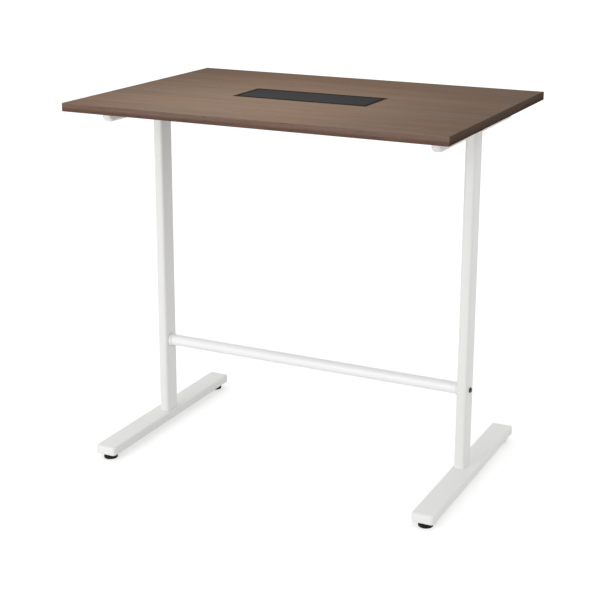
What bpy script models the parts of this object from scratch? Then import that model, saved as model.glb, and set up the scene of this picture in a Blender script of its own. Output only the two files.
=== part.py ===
"""High conference table: a wood-grain top with a hinged cable box, two white T-legs and a foot rail.

Metres, +Z up. X runs along the table's length, Y from front to back, and the origin is on the
floor under the middle of the top.
"""
import math

import bmesh
import bpy
from mathutils import Matrix, Vector

# Gap left between pieces that touch, and the wider one round bolts and screws
FIT = 0.0003
BOLT_CLEARANCE = 0.0003

# Table top: veneered board with a plastic band on each edge
TABLE_HEIGHT = 1.000
TOP_LENGTH = 1.050
TOP_DEPTH = 0.750
TOP_THICKNESS = 0.022
BAND_THICKNESS = 0.002
BAND_ROUNDING = 0.0008

# Cable box in the middle of the top
FRAME_LENGTH = 0.385
FRAME_DEPTH = 0.150
FRAME_RIM = 0.012
FRAME_RIM_THICKNESS = 0.0015
FRAME_RIM_ROUNDING = 0.0006
FRAME_WALL = 0.003
FRAME_SKIRT = 0.020
FRAME_CORNER = 0.003
CUTOUT_CLEARANCE = 0.0005
LID_THICKNESS = 0.005
LID_END_GAP = 0.0006
LID_HINGE_GAP = 0.0005
LID_SLOT = 0.008
LID_EDGE_ROUNDING = 0.0010
LEDGE_WIDTH = 0.004
LEDGE_THICKNESS = 0.003
LEDGE_HINGE_CLEARANCE = 0.006
PIN_DIAMETER = 0.0024
PIN_IN_LID = 0.005
PIN_IN_FRAME = 0.0022

# Folded steel tray that hangs under the cut-out
TRAY_END_MARGIN = 0.012
TRAY_MARGIN = 0.003
TRAY_DROP = 0.042
TRAY_SHEET = 0.0012
TRAY_FLANGE = 0.014
TRAY_BEND = 0.003
TRAY_SCREW_INSET = 0.030
TRAY_SCREW_DIAMETER = 0.004
TRAY_SCREW_HEAD = 0.008
TRAY_SCREW_HEAD_HEIGHT = 0.0024
TRAY_SCREW_DEPTH = 0.014

# Legs: post, support arm under the top and foot on the floor
LEG_INSET = 0.054
TUBE_WALL = 0.002
POST_WIDTH = 0.028
POST_DEPTH = 0.058
POST_CORNER = 0.008
ARM_WIDTH = 0.028
ARM_HEIGHT = 0.038
ARM_SETBACK = 0.095
ARM_LOWER_CORNER = 0.008
ARM_UPPER_CORNER = 0.003
ARM_NOSE = 0.022
ARM_NOSE_SHRINK = 0.62
ARM_SCREW_INSET = 0.080
ARM_SCREW_DIAMETER = 0.005
ARM_SCREW_HEAD = 0.010
ARM_SCREW_HEAD_HEIGHT = 0.003
ARM_SCREW_DEPTH = 0.016
ARM_ACCESS_DIAMETER = 0.013
FOOT_LENGTH = 0.650
FOOT_WIDTH = 0.060
FOOT_HEIGHT = 0.025
FOOT_CORNER = 0.004
FOOT_OFFSET = 0.010
FOOT_CLEARANCE = 0.016
FOOT_NOSE = 0.010
FOOT_NOSE_SHRINK = 0.33
CAP_TONGUE = 0.008

# Bolts that hold the foot to the post
FOOT_BOLT_SPACING = 0.030
FOOT_BOLT_DIAMETER = 0.008
FOOT_BOLT_HEAD = 0.013
FOOT_BOLT_HEAD_HEIGHT = 0.006
FOOT_BOLT_ENGAGEMENT = 0.018
FOOT_ACCESS_DIAMETER = 0.016
POST_PLUG_HEIGHT = 0.020

# Levelling glides
GLIDE_INSET = 0.030
GLIDE_DIAMETER = 0.038
GLIDE_BASE_HEIGHT = 0.012
GLIDE_NECK_DIAMETER = 0.026
GLIDE_CHAMFER = 0.0015
GLIDE_SOLE = 0.003
STUD_DIAMETER = 0.008
STUD_TOP_CLEARANCE = 0.0015
NUT_FLANGE_DIAMETER = 0.018
NUT_FLANGE_THICKNESS = 0.002
NUT_BODY_DIAMETER = 0.0134
NUT_HEIGHT = 0.012

# Foot rail between the posts
RAIL_HEIGHT = 0.258
RAIL_DIAMETER = 0.0318
RAIL_WALL = 0.002
COLLAR_DIAMETER = 0.038
COLLAR_LENGTH = 0.008
COLLAR_WEB = 0.002
COLLAR_ROUNDING = 0.0025
RAIL_PLUG_LENGTH = 0.018
RAIL_BOLT_DIAMETER = 0.008
RAIL_BOLT_HEAD = 0.014
RAIL_BOLT_HEAD_HEIGHT = 0.0045
RAIL_BOLT_ROUNDING = 0.0020
RAIL_BOLT_ENGAGEMENT = 0.016
SOCKET_SHARE = 0.28
SOCKET_DEPTH = 0.0025

# Sides of round pieces and steps of a rounded corner
ROUND_SIDES = 24
SMALL_SIDES = 12
CORNER_STEPS = 4
NOSE_STEPS = 5

# Heights that follow from the sizes above
TOP_UNDERSIDE = TABLE_HEIGHT - TOP_THICKNESS
ARM_TOP = TOP_UNDERSIDE - FIT
ARM_BOTTOM = ARM_TOP - ARM_HEIGHT
FOOT_TOP = FOOT_CLEARANCE + FOOT_HEIGHT
POST_BOTTOM = FOOT_TOP + FIT

# Places that follow from the sizes above
POST_X = TOP_LENGTH / 2 - LEG_INSET - POST_WIDTH / 2
POST_FACE = POST_WIDTH / 2
OPENING_LENGTH = FRAME_LENGTH - 2 * FRAME_RIM
OPENING_DEPTH = FRAME_DEPTH - 2 * FRAME_RIM
CUTOUT_LENGTH = OPENING_LENGTH + 2 * (FRAME_WALL + CUTOUT_CLEARANCE)
CUTOUT_DEPTH = OPENING_DEPTH + 2 * (FRAME_WALL + CUTOUT_CLEARANCE)
HINGE_Y = OPENING_DEPTH / 2 - LID_HINGE_GAP - LID_THICKNESS / 2
HINGE_Z = TABLE_HEIGHT - LID_THICKNESS / 2
LID_LENGTH = OPENING_LENGTH - 2 * LID_END_GAP
LID_FRONT = -OPENING_DEPTH / 2 + LID_SLOT
TRAY_LENGTH = CUTOUT_LENGTH + 2 * TRAY_END_MARGIN
TRAY_WIDTH = CUTOUT_DEPTH + 2 * TRAY_MARGIN
TRAY_SCREW_X = TRAY_LENGTH / 2 - TRAY_SCREW_INSET
TRAY_SCREW_Y = TRAY_WIDTH / 2 + TRAY_SHEET + TRAY_FLANGE / 2
ARM_LENGTH = TOP_DEPTH - 2 * ARM_SETBACK
ARM_SCREW_Y = ARM_LENGTH / 2 - ARM_SCREW_INSET
GLIDE_Y = FOOT_LENGTH / 2 - GLIDE_INSET
RAIL_END = POST_X - POST_FACE - FIT - COLLAR_WEB - FIT

SIDES = {"left": -1, "right": 1}
ENDS = {"front": -1, "back": 1}
FACE_LEFT = Matrix.Rotation(math.radians(-90), 4, "Y")
FACE_RIGHT = Matrix.Rotation(math.radians(90), 4, "Y")
FACE_FRONT = Matrix.Rotation(math.radians(90), 4, "X")
FACE_BACK = Matrix.Rotation(math.radians(180), 4, "Z") @ FACE_FRONT
FACE_DOWN = Matrix.Rotation(math.radians(180), 4, "X")


def clear_scene():
    for obj in list(bpy.data.objects):
        bpy.data.objects.remove(obj, do_unlink=True)


def new_collection(name):
    collection = bpy.data.collections.new(name)
    bpy.context.scene.collection.children.link(collection)
    return collection


def new_material(name, color, roughness, metallic=0.0):
    material = bpy.data.materials.new(name)
    material.use_nodes = True
    shader = material.node_tree.nodes["Principled BSDF"]
    shader.inputs["Base Color"].default_value = (*color, 1.0)
    shader.inputs["Roughness"].default_value = roughness
    shader.inputs["Metallic"].default_value = metallic
    return material


clear_scene()
table = new_collection("conference_table")
cutters = new_collection("cutters")

laminate = new_material("laminate", (0.225, 0.162, 0.122), 0.50)
edge_plastic = new_material("edge_plastic", (0.165, 0.108, 0.086), 0.45)
white_paint = new_material("white_paint", (0.80, 0.80, 0.78), 0.35)
white_plastic = new_material("white_plastic", (0.82, 0.82, 0.80), 0.45)
black_plastic = new_material("black_plastic", (0.018, 0.018, 0.018), 0.55)
lid_plastic = new_material("lid_plastic", (0.058, 0.057, 0.058), 0.45)
frame_plastic = new_material("frame_plastic", (0.032, 0.028, 0.025), 0.50)
tray_paint = new_material("tray_paint", (0.60, 0.60, 0.58), 0.45)
zinc_steel = new_material("zinc_steel", (0.55, 0.55, 0.53), 0.35, 1.0)
black_steel = new_material("black_steel", (0.045, 0.043, 0.040), 0.40, 1.0)


def place(obj, material, collection, matrix=Matrix(), parent=None):
    collection.objects.link(obj)
    obj.matrix_world = matrix
    if material:
        obj.data.materials.clear()
        obj.data.materials.append(material)
    if parent:
        obj.parent = parent
    if collection is cutters:
        obj.hide_render = True
        obj.display_type = "WIRE"
    return obj


def mesh_object(name, mesh_builder):
    mesh = bpy.data.meshes.new(name)
    bm = bmesh.new()
    mesh_builder(bm)
    bmesh.ops.recalc_face_normals(bm, faces=bm.faces)
    bm.to_mesh(mesh)
    bm.free()
    return bpy.data.objects.new(name, mesh)


def bevel_edges(obj, width, segments=2, angle=math.radians(40)):
    bevel = obj.modifiers.new("rounding", "BEVEL")
    bevel.width = width
    bevel.segments = segments
    bevel.limit_method = "ANGLE"
    bevel.angle_limit = angle
    return obj


def combine(obj, other, operation="DIFFERENCE"):
    boolean = obj.modifiers.new(other.name, "BOOLEAN")
    boolean.operation = operation
    boolean.solver = "EXACT"
    boolean.object = other
    return obj


def box(name, size, center, material=None, collection=cutters, rounding=0.0, parent=None):
    """A box of the given size whose object sits at its own centre."""
    scale = Matrix.Diagonal((*size, 1.0))
    obj = mesh_object(name, lambda bm: bmesh.ops.create_cube(bm, size=1.0, matrix=scale))
    if rounding:
        bevel_edges(obj, rounding)
    return place(obj, material, collection, Matrix.Translation(center), parent)


def rod_cutter(name, diameter, length, center, turn=Matrix(), sides=SMALL_SIDES):
    def build(bm):
        bmesh.ops.create_cone(bm, cap_ends=True, segments=sides, radius1=diameter / 2,
                              radius2=diameter / 2, depth=length)
    obj = mesh_object(name, build)
    return place(obj, None, cutters, Matrix.Translation(center) @ turn)


def rounded_outline(width, low, high, lower_radius, upper_radius, steps=CORNER_STEPS):
    """Points round a rectangle from y = low to y = high, with the lower corners' radius and the upper's."""
    corners = (
        (width / 2 - upper_radius, high - upper_radius, upper_radius, 0),
        (-width / 2 + upper_radius, high - upper_radius, upper_radius, 90),
        (-width / 2 + lower_radius, low + lower_radius, lower_radius, 180),
        (width / 2 - lower_radius, low + lower_radius, lower_radius, 270),
    )
    points = []
    for x, y, radius, start in corners:
        for step in range(steps + 1):
            angle = math.radians(start + 90 * step / steps)
            points.append((x + radius * math.cos(angle), y + radius * math.sin(angle)))
    return points


def extruded(name, outlines, length, material, collection=table, matrix=Matrix()):
    """A prism along its own Z, centred, from an outer outline and any inner ones."""
    curve = bpy.data.curves.new(name, "CURVE")
    curve.dimensions = "2D"
    curve.fill_mode = "BOTH"
    curve.extrude = length / 2
    for outline in outlines:
        spline = curve.splines.new("POLY")
        spline.points.add(len(outline) - 1)
        for point, (x, y) in zip(spline.points, outline):
            point.co = (x, y, 0.0, 1.0)
        spline.use_cyclic_u = True
    source = bpy.data.objects.new(name + "_outline", curve)
    cutters.objects.link(source)
    evaluated = source.evaluated_get(bpy.context.evaluated_depsgraph_get())
    mesh = bpy.data.meshes.new_from_object(evaluated)
    bpy.data.objects.remove(source, do_unlink=True)
    mesh.name = name
    bm = bmesh.new()
    bm.from_mesh(mesh)
    bmesh.ops.remove_doubles(bm, verts=bm.verts, dist=0.00001)
    bmesh.ops.recalc_face_normals(bm, faces=bm.faces)
    bm.to_mesh(mesh)
    bm.free()
    return place(bpy.data.objects.new(name, mesh), material, collection, matrix)


def turned(name, profile, material, collection=table, matrix=Matrix(), closed=False,
           sides=ROUND_SIDES, parent=None):
    """A turned piece round its own Z. The profile runs down the outer side, as (radius, height)."""
    mesh = bpy.data.meshes.new(name)
    edges = [(i, i + 1) for i in range(len(profile) - 1)]
    if closed:
        edges.append((len(profile) - 1, 0))
    mesh.from_pydata([(radius, 0.0, height) for radius, height in profile], edges, [])
    obj = bpy.data.objects.new(name, mesh)
    screw = obj.modifiers.new("turn", "SCREW")
    screw.axis = "Z"
    screw.steps = sides
    screw.render_steps = sides
    screw.use_merge_vertices = True
    screw.merge_threshold = 0.00001
    screw.use_smooth_shade = True
    return place(obj, material, collection, matrix, parent)


def arc(radius_center, height_center, radius, start, end, steps=3):
    """Profile points on a quarter circle, from one angle to another in degrees."""
    points = []
    for step in range(steps + 1):
        angle = math.radians(start + (end - start) * step / steps)
        points.append((radius_center + radius * math.cos(angle), height_center + radius * math.sin(angle)))
    return points


def pin_profile(radius, top, bottom):
    """A plain pin with both ends' edges broken."""
    return [(0.0, top), (radius - FIT, top), (radius, top - FIT),
            (radius, bottom + FIT), (radius - FIT, bottom), (0.0, bottom)]


def at(x, y, z):
    return Matrix.Translation((x, y, z))


def hex_socket(name, obj, head_radius, face, matrix):
    """Cut a hexagon socket into a bolt head whose outer face is at the given height."""
    socket = rod_cutter(name + "_socket", 2 * head_radius * 2 * SOCKET_SHARE, 2 * SOCKET_DEPTH,
                        (0, 0, 0), sides=6)
    socket.matrix_world = matrix @ at(0, 0, face)
    return combine(obj, socket)


def bolt(name, head, head_height, rounding, diameter, length, material, matrix, socket=True):
    """A bolt with its head above its own origin and its shank below."""
    radius = head / 2
    profile = [(0.0, head_height)]
    profile += arc(radius - rounding, head_height - rounding, rounding, 90, 0)
    profile += [(radius, 0.0), (diameter / 2, 0.0), (diameter / 2, -length + FIT)]
    profile += [(diameter / 2 - FIT, -length), (0.0, -length)]
    obj = turned(name, profile, material, matrix=matrix, sides=SMALL_SIDES)
    if socket:
        hex_socket(name, obj, radius, head_height, matrix)
    return obj


# Table top
def top_board():
    length = TOP_LENGTH - 2 * (BAND_THICKNESS + FIT)
    depth = TOP_DEPTH - 2 * (BAND_THICKNESS + FIT)
    middle = TABLE_HEIGHT - TOP_THICKNESS / 2
    board = box("top_board", (length, depth, TOP_THICKNESS), (0, 0, middle), laminate, table)
    combine(board, box("cable_cutout", (CUTOUT_LENGTH, CUTOUT_DEPTH, 2 * TOP_THICKNESS), (0, 0, middle)))
    rebate = extruded("frame_rebate", [frame_outline(FIT)], 2 * (FRAME_RIM_THICKNESS + FIT), None, cutters,
                      at(0, 0, TABLE_HEIGHT))
    combine(board, rebate)
    for side, sign in SIDES.items():
        for end, way in ENDS.items():
            hole = rod_cutter(f"arm_pilot_{side}_{end}", ARM_SCREW_DIAMETER + 2 * BOLT_CLEARANCE,
                              2 * (ARM_SCREW_DEPTH + BOLT_CLEARANCE),
                              (sign * POST_X, way * ARM_SCREW_Y, TOP_UNDERSIDE))
            combine(board, hole)
            hole = rod_cutter(f"tray_pilot_{side}_{end}", TRAY_SCREW_DIAMETER + 2 * BOLT_CLEARANCE,
                              2 * (TRAY_SCREW_DEPTH + BOLT_CLEARANCE),
                              (sign * TRAY_SCREW_X, way * TRAY_SCREW_Y, TOP_UNDERSIDE))
            combine(board, hole)


def edge_bands():
    middle = TABLE_HEIGHT - TOP_THICKNESS / 2
    for end, way in ENDS.items():
        box(f"edge_band_{end}", (TOP_LENGTH, BAND_THICKNESS, TOP_THICKNESS),
            (0, way * (TOP_DEPTH - BAND_THICKNESS) / 2, middle), edge_plastic, table, BAND_ROUNDING)
    between = TOP_DEPTH - 2 * (BAND_THICKNESS + FIT)
    for side, sign in SIDES.items():
        box(f"edge_band_{side}", (BAND_THICKNESS, between, TOP_THICKNESS),
            (sign * (TOP_LENGTH - BAND_THICKNESS) / 2, 0, middle), edge_plastic, table, BAND_ROUNDING)


# Cable box
def frame_outline(grow=0.0):
    return rounded_outline(FRAME_LENGTH + 2 * grow, -FRAME_DEPTH / 2 - grow, FRAME_DEPTH / 2 + grow,
                           FRAME_CORNER + grow, FRAME_CORNER + grow)


def cable_frame():
    """The frame's rim lies flush in a rebate round the cut-out."""
    rim_low = TABLE_HEIGHT - FRAME_RIM_THICKNESS
    rim = extruded("cable_frame", [frame_outline()], FRAME_RIM_THICKNESS, frame_plastic,
                   matrix=at(0, 0, rim_low + FRAME_RIM_THICKNESS / 2))
    bevel_edges(rim, FRAME_RIM_ROUNDING)
    skirt = box("frame_skirt", (OPENING_LENGTH + 2 * FRAME_WALL, OPENING_DEPTH + 2 * FRAME_WALL,
                                FRAME_SKIRT + FRAME_RIM_THICKNESS / 2),
                (0, 0, rim_low - FRAME_SKIRT / 2 + FRAME_RIM_THICKNESS / 4))
    combine(rim, skirt, "UNION")
    ledge_top = TABLE_HEIGHT - LID_THICKNESS - FIT
    below = ledge_top - LEDGE_THICKNESS - (rim_low - 2 * FRAME_SKIRT)
    above = 2 * (TABLE_HEIGHT - ledge_top)
    combine(rim, box("frame_opening_above", (OPENING_LENGTH, OPENING_DEPTH, above), (0, 0, TABLE_HEIGHT)))
    between = OPENING_LENGTH - 2 * LEDGE_WIDTH
    combine(rim, box("frame_opening_between", (between, OPENING_DEPTH, 4 * FRAME_SKIRT), (0, 0, rim_low)))
    combine(rim, box("frame_opening_below", (OPENING_LENGTH, OPENING_DEPTH, below),
                     (0, 0, ledge_top - LEDGE_THICKNESS - below / 2)))
    reach = LID_THICKNESS + LEDGE_HINGE_CLEARANCE
    combine(rim, box("frame_hinge_room", (OPENING_LENGTH, reach, 4 * FRAME_SKIRT),
                     (0, OPENING_DEPTH / 2 - reach / 2, rim_low)))
    hole_length = OPENING_LENGTH + 2 * (PIN_IN_FRAME + FIT)
    combine(rim, rod_cutter("frame_pin_holes", PIN_DIAMETER + 2 * FIT, hole_length,
                            (0, HINGE_Y, HINGE_Z), FACE_RIGHT))


def cable_lid():
    """The lid's rear edge is a half round about the hinge axis, so it turns inside the frame."""
    radius = LID_THICKNESS / 2
    front = LID_FRONT - HINGE_Y
    edge = LID_EDGE_ROUNDING
    outline = arc(0.0, 0.0, radius, -90, 90, 8)
    outline += arc(front + edge, radius - edge, edge, 90, 180)
    outline += arc(front + edge, -radius + edge, edge, 180, 270)
    axes = Matrix(((0, 0, 1, 0), (1, 0, 0, 0), (0, 1, 0, 0), (0, 0, 0, 1)))
    lid = extruded("cable_lid", [outline], LID_LENGTH, lid_plastic, matrix=at(0, HINGE_Y, HINGE_Z) @ axes)
    for side, sign in SIDES.items():
        depth = PIN_IN_LID + FIT
        hole = rod_cutter(f"lid_pin_hole_{side}", PIN_DIAMETER + 2 * FIT, 2 * depth,
                          (sign * LID_LENGTH / 2, HINGE_Y, HINGE_Z), FACE_RIGHT)
        combine(lid, hole)
        length = PIN_IN_LID + LID_END_GAP + PIN_IN_FRAME
        middle = OPENING_LENGTH / 2 + PIN_IN_FRAME - length / 2
        turned(f"lid_pin_{side}", pin_profile(PIN_DIAMETER / 2, length / 2, -length / 2), zinc_steel,
               matrix=at(sign * middle, HINGE_Y, HINGE_Z) @ FACE_RIGHT, sides=SMALL_SIDES)


def filleted(points, radius, steps=3):
    """An open run of points with each inner corner turned into an arc."""
    path = [Vector(points[0])]
    for before, corner, after in zip(points, points[1:], points[2:]):
        corner = Vector(corner)
        incoming = (corner - Vector(before)).normalized()
        outgoing = (Vector(after) - corner).normalized()
        turn = incoming.angle(outgoing)
        reach = radius * math.tan(turn / 2)
        start = corner - incoming * reach
        for step in range(steps + 1):
            angle = turn * step / steps
            side = (outgoing - incoming * incoming.dot(outgoing)).normalized()
            path.append(start + incoming * radius * math.sin(angle) + side * radius * (1 - math.cos(angle)))
    path.append(Vector(points[-1]))
    return path


def cable_tray():
    """A hat-shaped channel of folded sheet, open at both ends for the cables."""
    top = TOP_UNDERSIDE - FIT - TRAY_SHEET / 2
    bottom = TOP_UNDERSIDE - TRAY_DROP + TRAY_SHEET / 2
    wall = TRAY_WIDTH / 2 + TRAY_SHEET / 2
    outer = wall + TRAY_FLANGE
    path = filleted([(-outer, top), (-wall, top), (-wall, bottom), (wall, bottom), (wall, top), (outer, top)],
                    TRAY_BEND)

    def build(bm):
        verts = [bm.verts.new((-TRAY_LENGTH / 2, y, z)) for y, z in path]
        edges = [bm.edges.new(pair) for pair in zip(verts, verts[1:])]
        moved = bmesh.ops.extrude_edge_only(bm, edges=edges)["geom"]
        bmesh.ops.translate(bm, vec=(TRAY_LENGTH, 0, 0),
                            verts=[item for item in moved if isinstance(item, bmesh.types.BMVert)])

    tray = place(mesh_object("cable_tray", build), tray_paint, table)
    sheet = tray.modifiers.new("sheet", "SOLIDIFY")
    sheet.thickness = TRAY_SHEET
    sheet.offset = 0.0
    sheet.use_even_offset = True
    for side, sign in SIDES.items():
        for end, way in ENDS.items():
            x = sign * TRAY_SCREW_X
            y = way * TRAY_SCREW_Y
            combine(tray, rod_cutter(f"tray_hole_{side}_{end}", TRAY_SCREW_DIAMETER + 2 * BOLT_CLEARANCE,
                                     4 * TRAY_SHEET, (x, y, top)))
            under = top - TRAY_SHEET / 2 - FIT
            bolt(f"tray_screw_{side}_{end}", TRAY_SCREW_HEAD, TRAY_SCREW_HEAD_HEIGHT,
                 TRAY_SCREW_HEAD_HEIGHT / 2, TRAY_SCREW_DIAMETER, TOP_UNDERSIDE - under + TRAY_SCREW_DEPTH,
                 zinc_steel, at(x, y, under) @ FACE_DOWN, socket=False)


# Legs
def arm_outline(grow=0.0):
    return rounded_outline(ARM_WIDTH + 2 * grow, ARM_BOTTOM - ARM_TOP - grow, grow,
                           ARM_LOWER_CORNER + grow, ARM_UPPER_CORNER + grow)


def foot_outline(grow=0.0):
    return rounded_outline(FOOT_WIDTH + 2 * grow, -FOOT_HEIGHT / 2 - grow, FOOT_HEIGHT / 2 + grow,
                           FOOT_CORNER + grow, FOOT_CORNER + grow)


def post_outline(grow=0.0):
    return rounded_outline(POST_WIDTH + 2 * grow, -POST_DEPTH / 2 - grow, POST_DEPTH / 2 + grow,
                           POST_CORNER + grow, POST_CORNER + grow)


def end_cap(name, outline, tongue_outline, nose, shrink, pivot_height, matrix):
    """A plug whose nose narrows along a quarter ellipse as it is drawn out of the tube's outline."""
    def build(bm):
        face = bm.faces.new([bm.verts.new((x, y, 0.0)) for x, y in outline])
        for step in range(1, NOSE_STEPS + 1):
            turn = math.radians(90 * step / NOSE_STEPS)
            before = math.radians(90 * (step - 1) / NOSE_STEPS)
            rise = nose * (math.sin(turn) - math.sin(before))
            scale = (1 - shrink * (1 - math.cos(turn))) / (1 - shrink * (1 - math.cos(before)))
            grown = bmesh.ops.extrude_face_region(bm, geom=[face])["geom"]
            if step > 1:
                bmesh.ops.delete(bm, geom=[face], context="FACES_ONLY")
            face = next(item for item in grown if isinstance(item, bmesh.types.BMFace))
            bmesh.ops.translate(bm, vec=(0, 0, rise), verts=face.verts)
            bmesh.ops.scale(bm, vec=(scale, scale, 1), verts=face.verts,
                            space=Matrix.Translation((0, -pivot_height, 0)))

    cap = place(mesh_object(name, build), white_plastic, table, matrix)
    tongue = extruded(name + "_tongue", [tongue_outline], CAP_TONGUE + nose / 2, None, cutters,
                      matrix @ at(0, 0, nose / 4 - CAP_TONGUE / 2))
    return combine(cap, tongue, "UNION")


def support_arm(side, sign):
    x = sign * POST_X
    length = ARM_LENGTH - 2 * ARM_NOSE - 2 * FIT
    arm = extruded(f"arm_{side}", [arm_outline(), arm_outline(-TUBE_WALL)], length, white_paint,
                   matrix=at(x, 0, ARM_TOP) @ FACE_FRONT)
    for end, way in ENDS.items():
        turn = FACE_FRONT if end == "front" else FACE_BACK
        end_cap(f"arm_cap_{side}_{end}", arm_outline(), arm_outline(-TUBE_WALL - FIT), ARM_NOSE,
                ARM_NOSE_SHRINK, 0.0, at(x, way * (length / 2 + FIT), ARM_TOP) @ turn)
        y = way * ARM_SCREW_Y
        combine(arm, rod_cutter(f"arm_hole_{side}_{end}", ARM_SCREW_DIAMETER + 2 * BOLT_CLEARANCE,
                                3 * TUBE_WALL, (x, y, ARM_TOP)))
        combine(arm, rod_cutter(f"arm_access_{side}_{end}", ARM_ACCESS_DIAMETER, 3 * TUBE_WALL,
                                (x, y, ARM_BOTTOM), sides=ROUND_SIDES))
        under = ARM_TOP - TUBE_WALL - FIT
        bolt(f"arm_screw_{side}_{end}", ARM_SCREW_HEAD, ARM_SCREW_HEAD_HEIGHT, ARM_SCREW_HEAD_HEIGHT / 2,
             ARM_SCREW_DIAMETER, TOP_UNDERSIDE - under + ARM_SCREW_DEPTH, zinc_steel,
             at(x, y, under) @ FACE_DOWN, socket=False)


def post(side, sign):
    """The post's top is coped to the rounded underside of the arm."""
    x = sign * POST_X
    length = ARM_BOTTOM + ARM_LOWER_CORNER - POST_BOTTOM
    column = extruded(f"post_{side}", [post_outline(), post_outline(-TUBE_WALL)], length, white_paint,
                      matrix=at(x, 0, POST_BOTTOM + length / 2))
    cope = extruded(f"post_cope_{side}", [arm_outline(FIT)], 2 * POST_DEPTH, None, cutters,
                    at(x, 0, ARM_TOP) @ FACE_FRONT)
    combine(column, cope)
    combine(column, rod_cutter(f"post_rail_hole_{side}", RAIL_BOLT_DIAMETER + 2 * BOLT_CLEARANCE,
                               2 * POST_WIDTH, (x, 0, RAIL_HEIGHT), FACE_RIGHT))
    plug = extruded(f"post_plug_{side}", [post_outline(-TUBE_WALL - FIT)], POST_PLUG_HEIGHT, zinc_steel,
                    matrix=at(x, 0, POST_BOTTOM + POST_PLUG_HEIGHT / 2))
    for end, way in ENDS.items():
        y = way * FOOT_BOLT_SPACING / 2
        combine(plug, rod_cutter(f"plug_thread_{side}_{end}", FOOT_BOLT_DIAMETER + 2 * BOLT_CLEARANCE,
                                 2 * POST_PLUG_HEIGHT, (x, y, POST_BOTTOM + POST_PLUG_HEIGHT / 2)))
        seat = FOOT_TOP - TUBE_WALL - FIT
        bolt(f"foot_bolt_{side}_{end}", FOOT_BOLT_HEAD, FOOT_BOLT_HEAD_HEIGHT, FOOT_BOLT_HEAD_HEIGHT / 4,
             FOOT_BOLT_DIAMETER, POST_BOTTOM - seat + FOOT_BOLT_ENGAGEMENT, black_steel,
             at(x, y, seat) @ FACE_DOWN)


def foot(side, sign):
    x = sign * (POST_X + FOOT_OFFSET)
    middle = FOOT_CLEARANCE + FOOT_HEIGHT / 2
    length = FOOT_LENGTH - 2 * FOOT_NOSE - 2 * FIT
    beam = extruded(f"foot_{side}", [foot_outline(), foot_outline(-TUBE_WALL)], length, white_paint,
                    matrix=at(x, 0, middle) @ FACE_FRONT)
    for end, way in ENDS.items():
        turn = FACE_FRONT if end == "front" else FACE_BACK
        end_cap(f"foot_cap_{side}_{end}", foot_outline(), foot_outline(-TUBE_WALL - FIT), FOOT_NOSE,
                FOOT_NOSE_SHRINK, 0.0, at(x, way * (length / 2 + FIT), middle) @ turn)
        y = way * FOOT_BOLT_SPACING / 2
        combine(beam, rod_cutter(f"foot_hole_{side}_{end}", FOOT_BOLT_DIAMETER + 2 * BOLT_CLEARANCE,
                                 3 * TUBE_WALL, (sign * POST_X, y, FOOT_TOP)))
        combine(beam, rod_cutter(f"foot_access_{side}_{end}", FOOT_ACCESS_DIAMETER, 3 * TUBE_WALL,
                                 (sign * POST_X, y, FOOT_CLEARANCE), sides=ROUND_SIDES))
        combine(beam, rod_cutter(f"foot_nut_hole_{side}_{end}", NUT_BODY_DIAMETER + 2 * BOLT_CLEARANCE,
                                 3 * TUBE_WALL, (x, way * GLIDE_Y, FOOT_CLEARANCE), sides=ROUND_SIDES))
        glide(f"{side}_{end}", x, way * GLIDE_Y)


def glide(place_name, x, y):
    """A weld nut in the foot, and a stud and pad that screw up and down in it together."""
    bore = STUD_DIAMETER / 2 + BOLT_CLEARANCE
    body = NUT_BODY_DIAMETER / 2
    flange = NUT_FLANGE_DIAMETER / 2
    seat = TUBE_WALL + FIT
    top = seat + NUT_FLANGE_THICKNESS + NUT_HEIGHT - TUBE_WALL
    shoulder = seat + NUT_FLANGE_THICKNESS
    turned(f"glide_nut_{place_name}",
           [(bore, top), (body, top), (body, shoulder), (flange, shoulder),
            (flange, seat), (body, seat), (body, FIT), (bore, FIT)],
           zinc_steel, matrix=at(x, y, FOOT_CLEARANCE), closed=True)

    radius = GLIDE_DIAMETER / 2
    neck = GLIDE_NECK_DIAMETER / 2
    base = GLIDE_BASE_HEIGHT
    height = FOOT_CLEARANCE - FIT
    sole = GLIDE_SOLE
    axis = bpy.data.objects.new(f"glide_axis_{place_name}", None)
    axis.location = (x, y, 0.0)
    axis.empty_display_size = 0.02
    table.objects.link(axis)
    profile = [(0.0, sole), (bore, sole), (bore, height), (neck, height), (neck, base)]
    profile += [(radius - GLIDE_CHAMFER, base), (radius, base - GLIDE_CHAMFER), (radius, GLIDE_CHAMFER)]
    profile += [(radius - GLIDE_CHAMFER, 0.0), (0.0, 0.0)]
    turned(f"glide_pad_{place_name}", profile, black_plastic, parent=axis)
    tip = FOOT_TOP - TUBE_WALL - STUD_TOP_CLEARANCE
    turned(f"glide_stud_{place_name}", pin_profile(STUD_DIAMETER / 2, tip, sole + FIT), zinc_steel,
           parent=axis, sides=SMALL_SIDES)


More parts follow.
